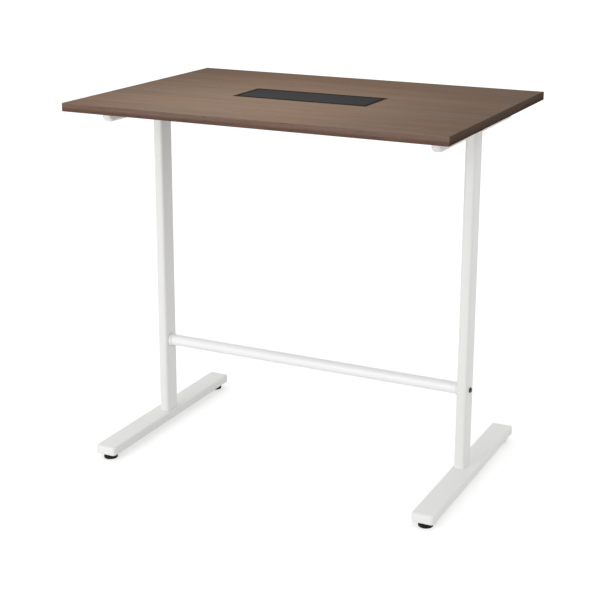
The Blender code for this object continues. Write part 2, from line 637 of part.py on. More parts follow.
# Foot rail
def foot_rail():
    radius = RAIL_DIAMETER / 2
    inner = radius - RAIL_WALL
    turned("foot_rail", [(radius, RAIL_END), (radius, -RAIL_END), (inner, -RAIL_END), (inner, RAIL_END)],
           white_paint, matrix=at(0, 0, RAIL_HEIGHT) @ FACE_RIGHT, closed=True)
    for side, sign in SIDES.items():
        inward = FACE_RIGHT if side == "left" else FACE_LEFT
        outward = FACE_LEFT if side == "left" else FACE_RIGHT
        face = sign * (POST_X - POST_FACE - FIT)
        outer = COLLAR_DIAMETER / 2
        rounding = COLLAR_ROUNDING
        hole = RAIL_BOLT_DIAMETER / 2 + BOLT_CLEARANCE
        seat = radius + FIT
        profile = [(seat, COLLAR_LENGTH)]
        profile += arc(outer - rounding, COLLAR_LENGTH - rounding, rounding, 90, 0)
        profile += [(outer, 0.0), (hole, 0.0), (hole, COLLAR_WEB), (seat, COLLAR_WEB)]
        turned(f"rail_collar_{side}", profile, white_plastic, matrix=at(face, 0, RAIL_HEIGHT) @ inward,
               closed=True)
        plug = inner - FIT
        profile = [(plug, RAIL_PLUG_LENGTH), (plug, 0.0), (hole, 0.0), (hole, RAIL_PLUG_LENGTH)]
        turned(f"rail_plug_{side}", profile, zinc_steel, matrix=at(sign * RAIL_END, 0, RAIL_HEIGHT) @ inward,
               closed=True)
        head_seat = POST_X + POST_FACE + FIT
        length = head_seat - RAIL_END + RAIL_BOLT_ENGAGEMENT
        bolt(f"rail_bolt_{side}", RAIL_BOLT_HEAD, RAIL_BOLT_HEAD_HEIGHT, RAIL_BOLT_ROUNDING,
             RAIL_BOLT_DIAMETER, length, black_steel, at(sign * head_seat, 0, RAIL_HEIGHT) @ outward)


top_board()
edge_bands()
cable_frame()
cable_lid()
cable_tray()
for side_name, side_sign in SIDES.items():
    support_arm(side_name, side_sign)
    post(side_name, side_sign)
    foot(side_name, side_sign)
foot_rail()
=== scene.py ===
# High conference table: fine pieces, finishes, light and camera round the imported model
import math

import bmesh
import bpy
from mathutils import Matrix, Vector


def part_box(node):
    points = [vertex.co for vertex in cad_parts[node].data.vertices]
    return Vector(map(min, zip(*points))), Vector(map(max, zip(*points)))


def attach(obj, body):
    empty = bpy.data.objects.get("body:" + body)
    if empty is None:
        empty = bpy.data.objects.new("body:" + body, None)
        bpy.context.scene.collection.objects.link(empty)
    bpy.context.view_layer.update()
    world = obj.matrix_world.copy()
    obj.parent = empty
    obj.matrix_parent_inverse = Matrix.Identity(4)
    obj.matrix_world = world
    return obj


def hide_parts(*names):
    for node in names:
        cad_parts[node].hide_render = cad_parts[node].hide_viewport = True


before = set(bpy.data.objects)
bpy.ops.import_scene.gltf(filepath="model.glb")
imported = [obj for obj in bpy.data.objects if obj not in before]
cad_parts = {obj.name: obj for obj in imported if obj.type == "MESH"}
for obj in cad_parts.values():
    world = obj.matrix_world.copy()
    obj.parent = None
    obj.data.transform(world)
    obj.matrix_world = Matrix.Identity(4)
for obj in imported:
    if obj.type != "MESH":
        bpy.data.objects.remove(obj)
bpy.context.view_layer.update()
scene = bpy.context.scene
sides = {"left": -1, "right": 1}
ends = {"front": -1, "back": 1}
print("frame loaded with", len(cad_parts), "nodes")


# Shader groups that several finishes share

def newGroup(name, inputs, outputs):
    group = bpy.data.node_groups.new(name, "ShaderNodeTree")
    for label, kind, value in inputs:
        socket = group.interface.new_socket(name=label, in_out="INPUT", socket_type=kind)
        if value is not None:
            socket.default_value = value
    for label, kind in outputs:
        group.interface.new_socket(name=label, in_out="OUTPUT", socket_type=kind)
    return group, group.nodes.new("NodeGroupInput"), group.nodes.new("NodeGroupOutput")


def addNode(tree, kind, **settings):
    node = tree.nodes.new(kind)
    for key, value in settings.items():
        setattr(node, key, value)
    return node


def scaled(tree, vector, scale):
    node = addNode(tree, "ShaderNodeMapping")
    node.inputs["Scale"].default_value = scale
    tree.links.new(vector, node.inputs["Vector"])
    return node.outputs["Vector"]


def noise(tree, vector, detail=3.0, rough=0.5, scale=1.0):
    node = addNode(tree, "ShaderNodeTexNoise")
    node.inputs["Scale"].default_value = scale
    node.inputs["Detail"].default_value = detail
    node.inputs["Roughness"].default_value = rough
    tree.links.new(vector, node.inputs["Vector"])
    return node.outputs["Fac"]


def mapRange(tree, value, low, high):
    node = addNode(tree, "ShaderNodeMapRange", interpolation_type="SMOOTHSTEP")
    node.inputs["From Min"].default_value = low
    node.inputs["From Max"].default_value = high
    tree.links.new(value, node.inputs["Value"])
    return node.outputs["Result"]


def math2(tree, operation, a, b):
    node = addNode(tree, "ShaderNodeMath", operation=operation)
    for socket, value in zip(node.inputs, (a, b)):
        if isinstance(value, (int, float)):
            socket.default_value = value
        else:
            tree.links.new(value, socket)
    return node.outputs["Value"]


def mixColour(tree, factor, a, b, blend="MIX"):
    node = addNode(tree, "ShaderNodeMix", data_type="RGBA", blend_type=blend)
    sockets = (node.inputs["Factor"], node.inputs["A"], node.inputs["B"])
    for socket, value in zip(sockets, (factor, a, b)):
        if isinstance(value, (int, float, tuple)):
            socket.default_value = value
        else:
            tree.links.new(value, socket)
    return node.outputs["Result"]


# Printed wood grain: runs along X, with broad figure, streaks and short pores
grainValues = {
    "wander": (1.6, 5.0, 5.0), "wanderBy": 0.030,
    "figure": (1.1, 17.0, 17.0), "figureFrom": 0.30, "figureTo": 0.72, "figureRough": 0.05,
    "streak": (3.5, 120.0, 120.0), "streakFrom": 0.32, "streakTo": 0.70,
    "fine": (9.0, 620.0, 620.0), "fineShare": 0.5, "contrast": 0.45,
    "pore": (34.0, 1300.0, 1300.0), "poreFrom": 0.60, "poreTo": 0.68, "poreRough": 0.12,
    "patch": (2.6, 6.0, 6.0), "patchFrom": 0.35, "patchTo": 0.65,
    "warm": (1.035, 0.99, 0.965, 1.0), "cool": (0.975, 1.005, 1.02, 1.0),
}


def makeWoodGroup():
    v = grainValues
    group, inlet, outlet = newGroup(
        "woodGrain",
        (("Vector", "NodeSocketVector", None),
         ("Pale", "NodeSocketColor", (0.22, 0.16, 0.12, 1)),
         ("Dark", "NodeSocketColor", (0.14, 0.10, 0.07, 1)),
         ("Pore", "NodeSocketColor", (0.07, 0.05, 0.04, 1)),
         ("Figure", "NodeSocketFloat", 1.0),
         ("Streaks", "NodeSocketFloat", 1.0),
         ("Pores", "NodeSocketFloat", 1.0),
         ("Satin", "NodeSocketFloat", 0.5)),
        (("Color", "NodeSocketColor"), ("Roughness", "NodeSocketFloat"), ("Height", "NodeSocketFloat")))
    vector = inlet.outputs["Vector"]
    # a slow sideways wander keeps the fibres from being ruled lines
    wander = noise(group, scaled(group, vector, v["wander"]), detail=2.0)
    shift = addNode(group, "ShaderNodeCombineXYZ")
    amount = math2(group, "MULTIPLY", math2(group, "SUBTRACT", wander, 0.5), v["wanderBy"])
    group.links.new(amount, shift.inputs["Y"])
    group.links.new(amount, shift.inputs["Z"])
    add = addNode(group, "ShaderNodeVectorMath", operation="ADD")
    group.links.new(vector, add.inputs[0])
    group.links.new(shift.outputs["Vector"], add.inputs[1])
    fibre = add.outputs["Vector"]
    figure = noise(group, scaled(group, fibre, v["figure"]), detail=4.0, rough=0.55)
    figure = mapRange(group, figure, v["figureFrom"], v["figureTo"])
    streak = noise(group, scaled(group, fibre, v["streak"]), detail=5.0, rough=0.6)
    streak = mapRange(group, streak, v["streakFrom"], v["streakTo"])
    fine = noise(group, scaled(group, fibre, v["fine"]), rough=0.6)
    pore = noise(group, scaled(group, fibre, v["pore"]), detail=2.0)
    pore = mapRange(group, pore, v["poreFrom"], v["poreTo"])
    broad = math2(group, "MULTIPLY", figure, inlet.outputs["Figure"])
    narrow = math2(group, "ADD", streak, math2(group, "MULTIPLY", fine, v["fineShare"]))
    narrow = math2(group, "MULTIPLY", narrow, inlet.outputs["Streaks"])
    total = math2(group, "MULTIPLY", math2(group, "ADD", broad, narrow), v["contrast"])
    body = mixColour(group, total, inlet.outputs["Pale"], inlet.outputs["Dark"])
    # warm and cool patches, a hand's breadth wide
    patch = noise(group, scaled(group, vector, v["patch"]), detail=2.0)
    patch = mapRange(group, patch, v["patchFrom"], v["patchTo"])
    tinted = mixColour(group, patch, v["warm"], v["cool"])
    body = mixColour(group, 1.0, body, tinted, "MULTIPLY")
    poreMask = math2(group, "MULTIPLY", pore, inlet.outputs["Pores"])
    colour = mixColour(group, poreMask, body, inlet.outputs["Pore"])
    group.links.new(colour, outlet.inputs["Color"])
    rough = math2(group, "MULTIPLY", poreMask, v["poreRough"])
    rough = math2(group, "ADD", inlet.outputs["Satin"], rough)
    uneven = math2(group, "MULTIPLY", math2(group, "SUBTRACT", figure, 0.5), v["figureRough"])
    group.links.new(math2(group, "ADD", rough, uneven), outlet.inputs["Roughness"])
    group.links.new(math2(group, "SUBTRACT", fine, poreMask), outlet.inputs["Height"])
    return group


# Fine skin of powder coat or moulded plastic: peel or grain, faint mottling, uneven gloss
skinValues = {"broad": 7.0, "broadShare": 0.6, "speck": 240.0, "speckShare": 0.4, "bump": 0.2}


def makeSkinGroup():
    v = skinValues
    group, inlet, outlet = newGroup(
        "fineSkin",
        (("Vector", "NodeSocketVector", None),
         ("Colour", "NodeSocketColor", (0.8, 0.8, 0.8, 1)),
         ("Mottle", "NodeSocketFloat", 0.03),
         ("Grain Scale", "NodeSocketFloat", 900.0),
         ("Gloss", "NodeSocketFloat", 0.4),
         ("Gloss Spread", "NodeSocketFloat", 0.05)),
        (("Color", "NodeSocketColor"), ("Roughness", "NodeSocketFloat"), ("Height", "NodeSocketFloat")))
    vector = inlet.outputs["Vector"]
    broad = noise(group, vector, scale=v["broad"])
    speck = noise(group, vector, detail=2.0, scale=v["speck"])
    grainNode = addNode(group, "ShaderNodeTexNoise")
    grainNode.inputs["Detail"].default_value = 2.0
    group.links.new(vector, grainNode.inputs["Vector"])
    group.links.new(inlet.outputs["Grain Scale"], grainNode.inputs["Scale"])
    tone = math2(group, "ADD", math2(group, "MULTIPLY", broad, v["broadShare"]),
                 math2(group, "MULTIPLY", speck, v["speckShare"]))
    tone = math2(group, "MULTIPLY", math2(group, "SUBTRACT", 0.5, tone), inlet.outputs["Mottle"])
    tone = math2(group, "ADD", tone, 1.0)
    shade = addNode(group, "ShaderNodeCombineColor")
    for channel in ("Red", "Green", "Blue"):
        group.links.new(tone, shade.inputs[channel])
    colour = mixColour(group, 1.0, inlet.outputs["Colour"], shade.outputs["Color"], "MULTIPLY")
    group.links.new(colour, outlet.inputs["Color"])
    spread = math2(group, "MULTIPLY", math2(group, "SUBTRACT", broad, 0.5), inlet.outputs["Gloss Spread"])
    group.links.new(math2(group, "ADD", inlet.outputs["Gloss"], spread), outlet.inputs["Roughness"])
    group.links.new(grainNode.outputs["Fac"], outlet.inputs["Height"])
    return group


woodGroup = makeWoodGroup()
skinGroup = makeSkinGroup()


def newFinish(name, group, values, bumpStrength, bumpDepth, turn=0.0, **sockets):
    finish = bpy.data.materials.new(name)
    finish.use_nodes = True
    tree = finish.node_tree
    shader = tree.nodes["Principled BSDF"]
    place = addNode(tree, "ShaderNodeTexCoord").outputs["Object"]
    if turn:
        mapping = addNode(tree, "ShaderNodeMapping")
        mapping.inputs["Rotation"].default_value = (0.0, 0.0, turn)
        tree.links.new(place, mapping.inputs["Vector"])
        place = mapping.outputs["Vector"]
    effect = addNode(tree, "ShaderNodeGroup", node_tree=group)
    tree.links.new(place, effect.inputs["Vector"])
    for label, value in values.items():
        effect.inputs[label].default_value = value
    bump = addNode(tree, "ShaderNodeBump")
    bump.inputs["Strength"].default_value = bumpStrength
    bump.inputs["Distance"].default_value = bumpDepth
    tree.links.new(effect.outputs["Height"], bump.inputs["Height"])
    tree.links.new(effect.outputs["Color"], shader.inputs["Base Color"])
    tree.links.new(effect.outputs["Roughness"], shader.inputs["Roughness"])
    tree.links.new(bump.outputs["Normal"], shader.inputs["Normal"])
    for label, value in sockets.items():
        shader.inputs[label.replace("_", " ")].default_value = value
    return finish


woodBump = {"bumpStrength": 0.25, "bumpDepth": 0.00006}
topLook = {
    "Pale": (0.201, 0.143, 0.107, 1), "Dark": (0.137, 0.094, 0.069, 1), "Pore": (0.062, 0.042, 0.031, 1),
    "Figure": 0.55, "Streaks": 0.8, "Pores": 0.5, "Satin": 0.60,
}
bandLook = {
    "Pale": (0.224, 0.149, 0.119, 1), "Dark": (0.137, 0.090, 0.071, 1), "Pore": (0.055, 0.034, 0.028, 1),
    "Figure": 0.7, "Streaks": 1.1, "Pores": 0.6, "Satin": 0.55,
}
# Painted shade: the end bands use a darker copy of the band colours, standing in for the shade on their
# sides
endShadeLook = {**bandLook, "Pale": (0.116, 0.085, 0.067, 1), "Dark": (0.068, 0.049, 0.039, 1)}
topLaminate = newFinish("topLaminate", woodGroup, topLook, **woodBump, Specular_IOR_Level=0.0)
bandAlong = newFinish("bandAlongX", woodGroup, bandLook, **woodBump, Specular_IOR_Level=0.02)
bandAcross = newFinish("bandAlongY", woodGroup, endShadeLook, **woodBump, turn=math.pi / 2,
                       Specular_IOR_Level=0.0)


# Painted shade: the bands' colour is made redder and darker in their lower half
bandShadeValues = {"low": 0.983, "high": 0.993, "along": (0.68, 0.60, 0.58, 1), "across": (0.80, 0.72, 0.70, 1)}


def shadeBand(finish, tint):
    tree = finish.node_tree
    shader = tree.nodes["Principled BSDF"]
    place = addNode(tree, "ShaderNodeTexCoord").outputs["Object"]
    split = addNode(tree, "ShaderNodeSeparateXYZ")
    tree.links.new(place, split.inputs["Vector"])
    # mask of the lower half, where painted shade darkens and reddens the band
    mask = mapRange(tree, split.outputs["Z"], bandShadeValues["low"], bandShadeValues["high"])
    source = shader.inputs["Base Color"].links[0].from_socket
    lower = mixColour(tree, 1.0, source, tint, "MULTIPLY")
    tree.links.new(mixColour(tree, mask, lower, source), shader.inputs["Base Color"])


shadeBand(bandAlong, bandShadeValues["along"])
shadeBand(bandAcross, bandShadeValues["across"])


def skin(name, colour, gloss, mottle=0.03, grain=900.0, depth=0.00004, spread=0.05, **sockets):
    values = {"Colour": (*colour, 1), "Mottle": mottle, "Grain Scale": grain, "Gloss": gloss,
              "Gloss Spread": spread}
    return newFinish(name, skinGroup, values, skinValues["bump"], depth, **sockets)


powderWhite = skin("powderWhite", (0.85, 0.85, 0.83), 0.38, grain=700.0, depth=0.00006)
railWhite = skin("railWhite", (0.95, 0.95, 0.955), 0.34, grain=700.0, depth=0.00006)
capWhite = skin("capWhite", (0.88, 0.88, 0.87), 0.46, grain=1500.0)
glideBlack = skin("glideBlack", (0.008, 0.008, 0.008), 0.55, mottle=0.2, grain=1300.0, depth=0.00005,
                  Specular_IOR_Level=0.15)
lidSlate = skin("lidSlate", (0.039, 0.038, 0.039), 0.66, mottle=0.10, grain=1900.0, depth=0.00005,
                Specular_IOR_Level=0.0)
rimDark = skin("rimDark", (0.018, 0.0115, 0.0085), 0.66, mottle=0.10, grain=1900.0, depth=0.00005,
               Specular_IOR_Level=0.01)
trayGrey = skin("trayGrey", (0.62, 0.62, 0.60), 0.45, grain=700.0, depth=0.00006)
zincSteel = skin("zincSteel", (0.56, 0.56, 0.54), 0.34, mottle=0.12, grain=500.0, spread=0.15,
                 Metallic=1.0)
boltBlack = skin("boltBlack", (0.060, 0.057, 0.053), 0.42, mottle=0.15, grain=600.0, spread=0.10,
                 Metallic=1.0)
print("finishes made")


# Mesh helpers: how close to a face or level a point counts as lying in it, and when two points are one
near, veryNear, samePoint = 0.0001, 0.00001, 0.000001


def boxMesh(low, high):
    low, high = Vector(low), Vector(high)
    bm = bmesh.new()
    place = Matrix.Translation((low + high) / 2) @ Matrix.Diagonal((*(high - low), 1))
    bmesh.ops.create_cube(bm, size=1.0, matrix=place)
    return bm


def edgesAlong(bm, axis, test=None):
    found = []
    for edge in bm.edges:
        span = edge.verts[1].co - edge.verts[0].co
        middle = (edge.verts[0].co + edge.verts[1].co) / 2
        if abs(span[axis]) > 0.999 * span.length and (test is None or test(middle)):
            found.append(edge)
    return found


def roundEdges(bm, edges, radius, segments):
    bmesh.ops.bevel(bm, geom=edges, offset=radius, offset_type="OFFSET", segments=segments, profile=0.5,
                    affect="EDGES", clamp_overlap=True, material=-1)


def cutPlanes(bm, axis, places):
    for place in places:
        normal = Vector((0, 0, 0))
        normal[axis] = 1
        bmesh.ops.bisect_plane(bm, geom=bm.verts[:] + bm.edges[:] + bm.faces[:], dist=1e-7,
                               plane_co=normal * place, plane_no=normal)


# A plate or wall with a rectangular hole down through it
def ringMesh(low, high, holeLow, holeHigh):
    bm = boxMesh(low, high)
    cutPlanes(bm, 0, (holeLow[0], holeHigh[0]))
    cutPlanes(bm, 1, (holeLow[1], holeHigh[1]))
    bm.normal_update()
    middle = []
    for face in bm.faces:
        centre = face.calc_center_median()
        inX = holeLow[0] < centre.x < holeHigh[0]
        inY = holeLow[1] < centre.y < holeHigh[1]
        if abs(face.normal.z) > 0.9 and inX and inY:
            middle.append(face)
    bmesh.ops.delete(bm, geom=middle, context="FACES")
    bmesh.ops.bridge_loops(bm, edges=[edge for edge in bm.edges if edge.is_boundary])
    bmesh.ops.recalc_face_normals(bm, faces=bm.faces)
    return bm


# A turned shape about Z from a run of (radius, height) points
def spinMesh(profile, steps):
    bm = bmesh.new()
    verts = [bm.verts.new((radius, 0.0, height)) for radius, height in profile]
    edges = [bm.edges.new(pair) for pair in zip(verts, verts[1:])]
    bmesh.ops.spin(bm, geom=verts + edges, cent=(0, 0, 0), axis=(0, 0, 1), dvec=(0, 0, 0),
                   angle=2 * math.pi, steps=steps, use_merge=True)
    bmesh.ops.remove_doubles(bm, verts=bm.verts, dist=samePoint)
    bmesh.ops.recalc_face_normals(bm, faces=bm.faces)
    return bm


# A run of such points round a quarter circle
def corner(radius, height, size, start, end, steps=5):
    points = []
    for step in range(steps + 1):
        angle = math.radians(start + (end - start) * step / steps)
        points.append((radius + size * math.cos(angle), height + size * math.sin(angle)))
    return points


def move(bm, matrix):
    bmesh.ops.transform(bm, matrix=matrix, verts=bm.verts)
    return bm


def joinInto(bm, other):
    mesh = bpy.data.meshes.new("joined")
    other.to_mesh(mesh)
    other.free()
    bm.from_mesh(mesh)
    bpy.data.meshes.remove(mesh)
    return bm


# A flat face with points along a straight side is fanned from its middle, which leaves no empty triangles
def fanFaces(bm):
    straight = math.radians(179.9)
    faces = [face for face in bm.faces if any(loop.calc_angle() > straight for loop in face.loops)]
    bmesh.ops.poke(bm, faces=faces)


def addPiece(name, bm, finish, body, nodes=(), sharp=38.0):
    mesh = bpy.data.meshes.new(name)
    fanFaces(bm)
    bm.normal_update()
    bm.to_mesh(mesh)
    bm.free()
    mesh.shade_smooth()
    mesh.set_sharp_from_angle(angle=math.radians(sharp))
    mesh.materials.append(finish)
    piece = bpy.data.objects.new(name, mesh)
    scene.collection.objects.link(piece)
    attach(piece, body)
    if nodes:
        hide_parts(*nodes)
    return piece


def sized(node):
    low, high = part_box(node)
    return Vector(low), Vector(high)


faceFront = Matrix.Rotation(math.radians(90), 4, "X")
faceBack = Matrix.Rotation(math.radians(180), 4, "Z") @ faceFront
faceRight = Matrix.Rotation(math.radians(90), 4, "Y")
faceLeft = Matrix.Rotation(math.radians(-90), 4, "Y")


# Table top: board with the cable box's hole, and its four bands
topValues = {"edge": 0.00025, "holeCorner": 0.0033, "holeGap": 0.0003, "reach": 0.001, "bandRound": 0.0013}


def makeTop():
    v = topValues
    low, high = sized("top_board")
    frameLow, frameHigh = sized("cable_frame")
    gap = Vector((v["holeGap"], v["holeGap"], 0))
    holeLow, holeHigh = frameLow - gap, frameHigh + gap
    board = ringMesh(low, high, holeLow, holeHigh)
    inHole = lambda p: abs(p.x) < holeHigh.x + v["reach"] and abs(p.y) < holeHigh.y + v["reach"]
    roundEdges(board, edgesAlong(board, 2, inHole), v["holeCorner"], 6)
    outer = lambda p: abs(p.x) > high.x - v["reach"] or abs(p.y) > high.y - v["reach"]
    roundEdges(board, edgesAlong(board, 0, outer) + edgesAlong(board, 1, outer), v["edge"], 2)
    addPiece("boardPanel", board, topLaminate, "table", ("top_board",))
    for end, way in ends.items():
        low, high = sized("edge_band_" + end)
        band = boxMesh(low, high)
        outerFace = low.y if way < 0 else high.y
        onFace = lambda p: abs(p.y - outerFace) < near
        roundEdges(band, edgesAlong(band, 0, onFace) + edgesAlong(band, 2, onFace), v["bandRound"], 4)
        addPiece("band" + end.title(), band, bandAlong, "table", ("edge_band_" + end,))
    for side, sign in sides.items():
        low, high = sized("edge_band_" + side)
        band = boxMesh(low, high)
        outerFace = low.x if sign < 0 else high.x
        onFace = lambda p: abs(p.x - outerFace) < near
        roundEdges(band, edgesAlong(band, 1, onFace), v["bandRound"], 4)
        addPiece("band" + side.title(), band, bandAcross, "table", ("edge_band_" + side,))


makeTop()
print("table top made")


# Cable box: frame with rim, skirt and ledges, hinged lid, folded tray
boxValues = {
    "rimWidth": 0.012, "rimThick": 0.0015, "wall": 0.003, "corner": 0.003, "ease": 0.0005,
    "ledge": 0.004, "ledgeThick": 0.003, "ledgeEdge": 0.0003, "overlap": 0.001, "hingeRoom": 0.011,
    "fit": 0.0003, "lidEdge": 0.0011, "lidEnds": 0.0003, "lidThick": 0.005, "lidRound": 0.999,
}


def makeCableBox():
    v = boxValues
    low, high = sized("cable_frame")
    rim = Vector((v["rimWidth"], v["rimWidth"], 0))
    holeLow, holeHigh = low + rim, high - rim
    top = high.z
    rimMesh = ringMesh((low.x, low.y, top - v["rimThick"]), high, holeLow, holeHigh)
    outside = lambda p: abs(p.x) > high.x - near and abs(p.y) > high.y - near
    roundEdges(rimMesh, edgesAlong(rimMesh, 2, outside), v["corner"], 6)
    upper = [edge for edge in rimMesh.edges if all(vert.co.z > top - veryNear for vert in edge.verts)
             and edge.calc_face_angle(0.0) > 0.5]
    roundEdges(rimMesh, upper, v["ease"], 3)
    wall = Vector((v["wall"], v["wall"], 0))
    skirtLow = Vector((holeLow.x, holeLow.y, low.z)) - wall
    skirtHigh = Vector((holeHigh.x, holeHigh.y, top - v["rimThick"] / 2)) + wall
    joinInto(rimMesh, ringMesh(skirtLow, skirtHigh, holeLow, holeHigh))
    ledgeTop = top - v["lidThick"] - v["fit"]
    for sign in (-1, 1):
        outerX = sign * (holeHigh.x + v["overlap"])
        innerX = sign * (holeHigh.x - v["ledge"])
        ledge = boxMesh((min(outerX, innerX), holeLow.y - v["overlap"], ledgeTop - v["ledgeThick"]),
                        (max(outerX, innerX), holeHigh.y - v["hingeRoom"], ledgeTop))
        roundEdges(ledge, ledge.edges[:], v["ledgeEdge"], 2)
        joinInto(rimMesh, ledge)
    addPiece("boxFrame", rimMesh, rimDark, "table", ("cable_frame",))

    low, high = sized("cable_lid")
    lid = boxMesh(low, high)
    half = (high.z - low.z) / 2
    roundEdges(lid, edgesAlong(lid, 0, lambda p: p.y > high.y - near), half * v["lidRound"], 8)
    roundEdges(lid, edgesAlong(lid, 0, lambda p: p.y < low.y + near), v["lidEdge"], 5)
    endLoops = [edge for edge in lid.edges
                if all(abs(abs(vert.co.x) - high.x) < veryNear for vert in edge.verts)]
    roundEdges(lid, endLoops, v["lidEnds"], 2)
    addPiece("boxLid", lid, lidSlate, "lid", ("cable_lid",))


makeCableBox()


trayValues = {"sheet": 0.0012, "bend": 0.003, "bendSteps": 6, "play": 0.0035}


def makeTray():
    v = trayValues
    low, high = sized("cable_tray")
    inner = sized("cable_frame")[1].y - boxValues["rimWidth"] + boxValues["wall"] + v["play"]
    half = v["sheet"] / 2
    wallY = inner + half
    top, bottom = high.z - half, low.z + half
    points = ((low.y, top), (-wallY, top), (-wallY, bottom), (wallY, bottom), (wallY, top), (high.y, top))
    tray = bmesh.new()
    verts = [tray.verts.new((low.x, y, z)) for y, z in points]
    edges = [tray.edges.new(pair) for pair in zip(verts, verts[1:])]
    bmesh.ops.bevel(tray, geom=verts[1:-1], offset=v["bend"], offset_type="OFFSET", segments=v["bendSteps"],
                    profile=0.5, affect="VERTICES", clamp_overlap=True, material=-1)
    moved = bmesh.ops.extrude_edge_only(tray, edges=tray.edges[:])["geom"]
    bmesh.ops.translate(tray, vec=(high.x - low.x, 0, 0),
                        verts=[item for item in moved if isinstance(item, bmesh.types.BMVert)])
    bmesh.ops.recalc_face_normals(tray, faces=tray.faces)
    piece = addPiece("cableTray", tray, trayGrey, "table", ("cable_tray",), sharp=50.0)
    sheet = piece.modifiers.new("sheet", "SOLIDIFY")
    sheet.thickness = v["sheet"]
    sheet.offset = 0.0


makeTray()
print("cable box made")


# Rail bolts: a domed head with a hexagon socket, and the shank that goes through the post
boltValues = {
    "head": 0.0070, "height": 0.0045, "dome": 0.0030, "ease": 0.0002, "socket": 0.0026, "depth": 0.0024,
    "shank": 0.004, "steps": 48,
}


def socketHead(shankLength):
    v = boltValues
    profile = [(0.0, -shankLength), (v["shank"], -shankLength), (v["shank"], 0.0),
               (v["head"] - v["ease"], 0.0), (v["head"], v["ease"])]
    profile += corner(v["head"] - v["dome"], v["height"] - v["dome"], v["dome"], 0, 90, 8)
    bm = spinMesh(profile, v["steps"])
    rim = [vert for vert in bm.verts if vert.is_boundary]
    rim.sort(key=lambda vert: (math.atan2(vert.co.y, vert.co.x) + veryNear) % (2 * math.pi))
    tips = [Vector((v["socket"] * math.cos(math.radians(60 * step)),
                    v["socket"] * math.sin(math.radians(60 * step)), v["height"])) for step in range(6)]
    ring = []
    for step in range(len(rim)):  # each point of the round rim has its own point on the hexagon
        tip, part = divmod(6 * step / len(rim), 1)
        ring.append(bm.verts.new(tips[int(tip)].lerp(tips[(int(tip) + 1) % 6], part)))
    for step in range(len(rim)):
        after = (step + 1) % len(rim)
        bm.faces.new((rim[step], rim[after], ring[after], ring[step]))
    loop = [edge for edge in bm.edges if edge.is_boundary]
    grown = bmesh.ops.extrude_edge_only(bm, edges=loop)["geom"]
    down = [item for item in grown if isinstance(item, bmesh.types.BMVert)]
    bmesh.ops.translate(bm, vec=(0, 0, -v["depth"]), verts=down)
    bmesh.ops.contextual_create(bm, geom=[edge for edge in bm.edges if edge.is_boundary])
    bmesh.ops.recalc_face_normals(bm, faces=bm.faces)
    return bm


def makeRailBolts():
    for side, sign in sides.items():
        low, high = sized("rail_bolt_" + side)
        centre = (low + high) / 2
        tip = high.x if sign > 0 else low.x
        seat = tip - sign * boltValues["height"]
        inner = low.x if sign > 0 else high.x
        bm = socketHead(abs(seat - inner))
        move(bm, Matrix.Translation((seat, centre.y, centre.z)) @ (faceRight if sign > 0 else faceLeft))
        addPiece("railBolt" + side.title(), bm, boltBlack, "table", ("rail_bolt_" + side,))


makeRailBolts()


# Tray screws: a pan head under the flange and a plain shank
screwValues = {"round": 0.0012, "head": 0.0023, "seat": 0.0024, "shank": 0.0020}


def makeTrayScrews():
    v = screwValues
    for side in sides:
        for end in ends:
            node = f"tray_screw_{side}_{end}"
            low, high = sized(node)
            centre = (low + high) / 2
            radius = (high.x - low.x) / 2
            length = high.z - low.z
            profile = [(0.0, 0.0)] + corner(radius - v["round"], v["round"], v["round"], -90, 0, 6)
            profile += [(radius, v["head"]), (v["shank"], v["seat"]), (v["shank"], length), (0.0, length)]
            screw = move(spinMesh(profile, 32), Matrix.Translation((centre.x, centre.y, low.z)))
            addPiece(f"trayScrew{side.title()}{end.title()}", screw, zincSteel, "table", (node,))


makeTrayScrews()


# Legs
legValues = {
    "postCorner": 0.008, "armLower": 0.008, "armUpper": 0.003, "armNose": 0.022, "armShrink": 0.62,
    "footCorner": 0.004, "footNose": 0.010, "footShrink": 0.33, "noseSteps": 14,
    "armHole": 0.0056, "armHoleDepth": 0.0335, "footHole": 0.0080, "footHoleDepth": 0.0229,
    "holeMargin": 0.0004, "holeInset": 0.0001, "holeCuts": 7,
    "bead": 0.0016, "beadSteps": 12, "beadReach": 0.985,
}


# A moulded nose that narrows along a quarter ellipse, drawn out along local Z from an outline face
def noseMesh(width, low, high, lowerRadius, upperRadius, nose, shrink):
    lip = 0.0002
    bm = boxMesh((-width / 2, low, 0.0), (width / 2, high, lip))
    roundEdges(bm, edgesAlong(bm, 2, lambda p: p.y < (low + high) / 2), lowerRadius, 8)
    roundEdges(bm, edgesAlong(bm, 2, lambda p: p.y > high - veryNear), upperRadius, 6)
    bm.normal_update()
    face = max(bm.faces, key=lambda f: f.calc_center_median().z)
    steps = legValues["noseSteps"]
    for step in range(1, steps + 1):
        now = math.radians(90 * step / steps)
        last = math.radians(90 * (step - 1) / steps)
        rise = (nose - lip) * (math.sin(now) - math.sin(last))
        scale = (1 - shrink * (1 - math.cos(now))) / (1 - shrink * (1 - math.cos(last)))
        face = bmesh.ops.extrude_discrete_faces(bm, faces=[face])["faces"][0]
        bmesh.ops.translate(bm, vec=(0, 0, rise), verts=face.verts)
        bmesh.ops.scale(bm, vec=(scale, scale, 1), verts=face.verts)
    bmesh.ops.recalc_face_normals(bm, faces=bm.faces)
    return bm


